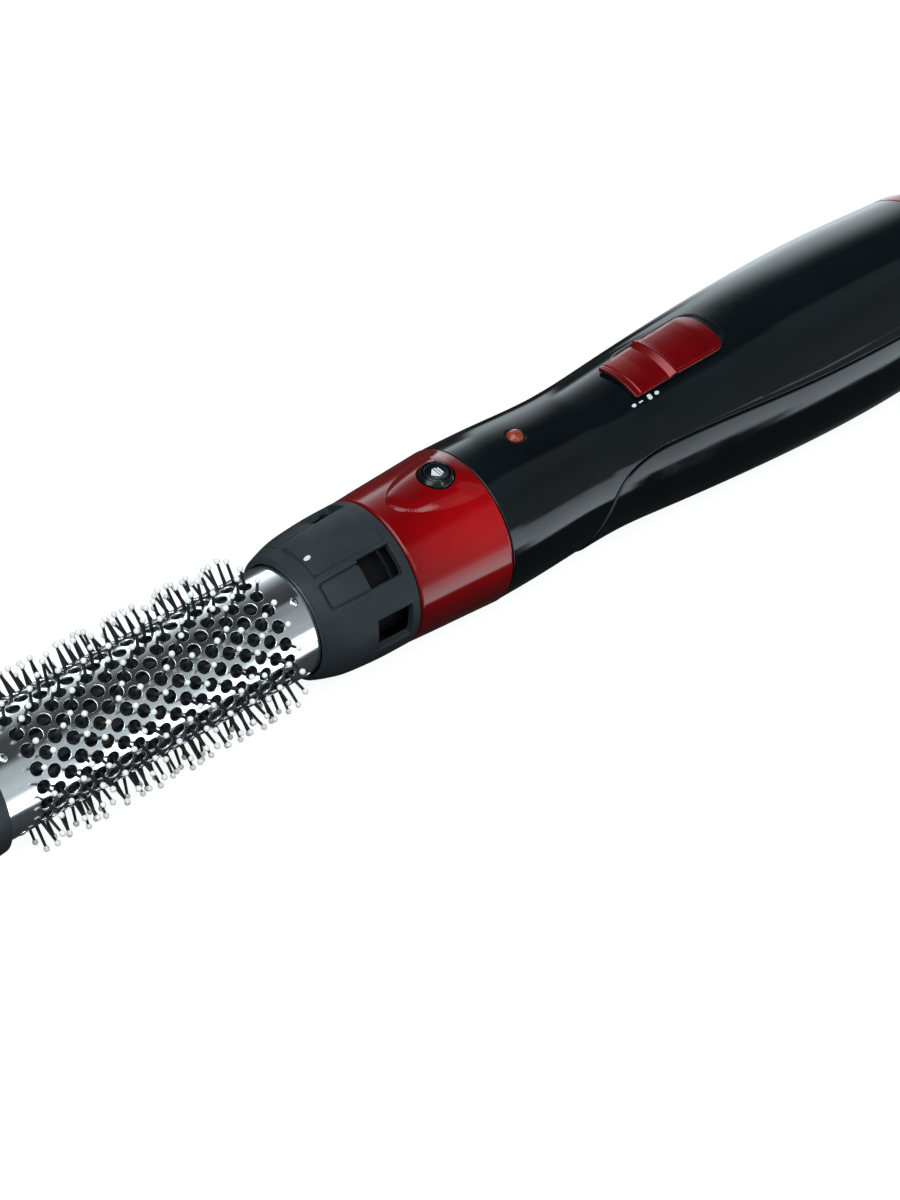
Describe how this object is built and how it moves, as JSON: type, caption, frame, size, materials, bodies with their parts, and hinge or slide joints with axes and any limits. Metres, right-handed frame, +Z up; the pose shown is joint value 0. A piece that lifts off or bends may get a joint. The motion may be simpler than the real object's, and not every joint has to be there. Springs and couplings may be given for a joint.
{
  "type": "hot air brush",
  "caption": "Hot air styling brush: rounded handle with slide switch, release button and swivel cord gland, and a pull-off perforated round brush head with bristles.",
  "frame": {"origin": "under the middle of the brush, on the surface that the flat of the handle's belly rests on", "axes": "+X along the brush from its tip to its tail, +Z up towards the switch"},
  "size_m": [0.3724, 0.0542, 0.0531],
  "materials": {
    "black_gloss": "glossy near-black",
    "black_matte": "matte black",
    "collar_grey": "fine matte charcoal",
    "red_gloss": "glossy candy red",
    "red_switch": "satin dark red",
    "chrome": "bright plated",
    "steel": "plain steel",
    "heater_wire": "oxidised resistance wire",
    "mica": "mica board",
    "lens_red": "clear orange-red",
    "board_green": "solder mask",
    "bristle": "black nylon",
    "foam": "open foam",
    "white_part": "white"
  },
  "bodies": {
    "handle": {"main_shell": "black_gloss", "lower_cover": "black_gloss", "front_ring": "red_gloss", "nozzle_spigot": "black_matte", "outlet_grille": "black_matte", "heat_shield": "mica", "heater_board_upright": "mica", "heater_board_flat": "mica", "heater_coil": "heater_wire", "thermostat": "steel", "thermal_fuse": "white_part", "circuit_board": "board_green", "led": "white_part", "led_lens": "lens_red", "switch_body": "black_matte", "ion_module": "black_matte", "ion_needle": "steel", "motor_can": "steel", "motor_mount": "black_matte", "tail_ring": "red_gloss", "intake_filter": "foam", "intake_grille": "black_gloss", "gland_retainer": "black_matte", "button_bezel": "black_gloss", "screw_left": "steel", "screw_right": "steel", "button_spring": "steel"},
    "switch": {"switch_knob": "red_switch"},
    "button": {"release_button": "black_gloss", "latch_hook": "black_matte"},
    "rotor": {"motor_shaft": "steel", "fan_impeller": "black_matte"},
    "gland": {"cord_gland": "black_matte"},
    "head": {"head_collar": "collar_grey", "barrel_retainer": "black_matte", "barrel": "chrome", "bristle_core": "black_matte", "bristle_comb_01": "bristle", "bristle_comb_02": "bristle", "bristle_comb_03": "bristle", "bristle_comb_04": "bristle", "bristle_comb_05": "bristle", "bristle_comb_06": "bristle", "bristle_comb_07": "bristle", "bristle_comb_08": "bristle", "bristle_comb_09": "bristle", "bristle_comb_10": "bristle", "tip_cap": "black_gloss"}
  },
  "joints": [
    {"name": "switch_slide", "type": "slide", "parent": "handle", "child": "switch", "axis": [0.9966, 0, 0.0822], "range_m": [0, 0.0078]},
    {"name": "button_press", "type": "slide", "parent": "handle", "child": "button", "axis": [0, 0, -1], "range_m": [0, 0.002], "stiffness_N_per_m": 500, "springref_m": -0.001, "deforming": ["button_spring"]},
    {"name": "head_pull_off", "type": "slide", "parent": "handle", "child": "head", "axis": [-1, 0, 0], "range_m": [0, 0.05]},
    {"name": "rotor_spin", "type": "hinge", "parent": "handle", "child": "rotor", "pos_m": [0.1282, 0, 0.02605], "axis": [1, 0, 0], "continuous": true},
    {"name": "gland_swivel", "type": "hinge", "parent": "handle", "child": "gland", "pos_m": [0.1782, 0, 0.02605], "axis": [1, 0, 0], "continuous": true}
  ]
}
